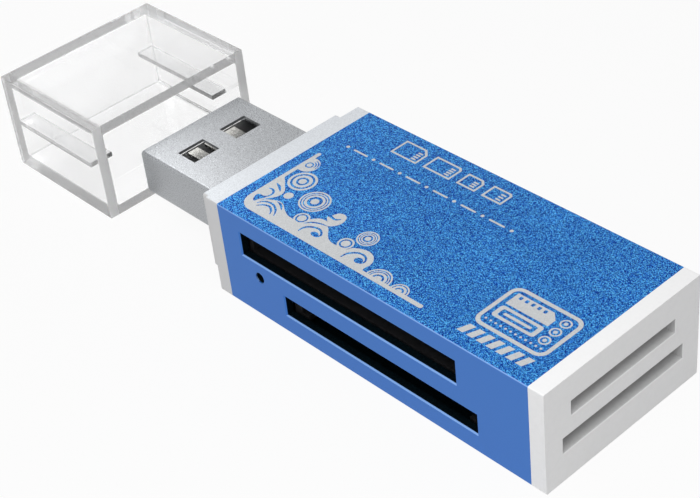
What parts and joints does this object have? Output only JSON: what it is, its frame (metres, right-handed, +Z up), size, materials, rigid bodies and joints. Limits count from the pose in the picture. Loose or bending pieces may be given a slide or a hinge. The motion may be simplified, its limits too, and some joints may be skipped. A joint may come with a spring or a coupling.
{
  "type": "usb memory card reader",
  "caption": "Pocket memory card reader: blue metal sleeve with card slots in a side and an end, a rectangular plug on a white bezel and a clear pull-off cap.",
  "frame": {"origin": "middle of the sleeve's flat underside, on the surface the reader lies on", "axes": "+X along the reader from its plug to its end cover, -Y out of the long card slots, +Z up"},
  "size_m": [0.0694, 0.018, 0.01],
  "materials": {
    "anodised_blue": "fine bead-blasted, anodised",
    "silver_plastic": "satin, slightly pearly",
    "white_plastic": "satin",
    "clear_plastic": "clear, polished",
    "plug_steel": "satin nickel",
    "black_plastic": "moulded",
    "contact_metal": "plated",
    "board_green": "solder mask",
    "chip_black": "moulded",
    "can_steel": "plain",
    "capacitor_tan": "ceramic",
    "resistor_black": "ceramic",
    "lamp_lens": "cloudy"
  },
  "bodies": {
    "reader": {"shell_sleeve": "anodised_blue", "front_bezel": "silver_plastic", "end_cover": "white_plastic", "plug_shell": "plug_steel", "plug_insulator": "black_plastic", "plug_contacts": "contact_metal", "circuit_board": "board_green", "controller_chip": "chip_black", "controller_pads": "contact_metal", "crystal_can": "can_steel", "status_lamp": "lamp_lens", "capacitors": "capacitor_tan", "resistors": "resistor_black", "large_card_frame": "black_plastic", "large_card_contacts": "contact_metal", "stick_card_frame": "black_plastic", "stick_card_contacts": "contact_metal", "micro_card_frame": "black_plastic", "micro_card_contacts": "contact_metal", "mini_stick_frame": "black_plastic", "mini_stick_contacts": "contact_metal"},
    "cap": {"clear_cap": "clear_plastic"}
  },
  "joints": [
    {"name": "cap_slide", "type": "slide", "parent": "reader", "child": "cap", "axis": [1, 0, 0], "range_m": [0, 0.01635]}
  ]
}
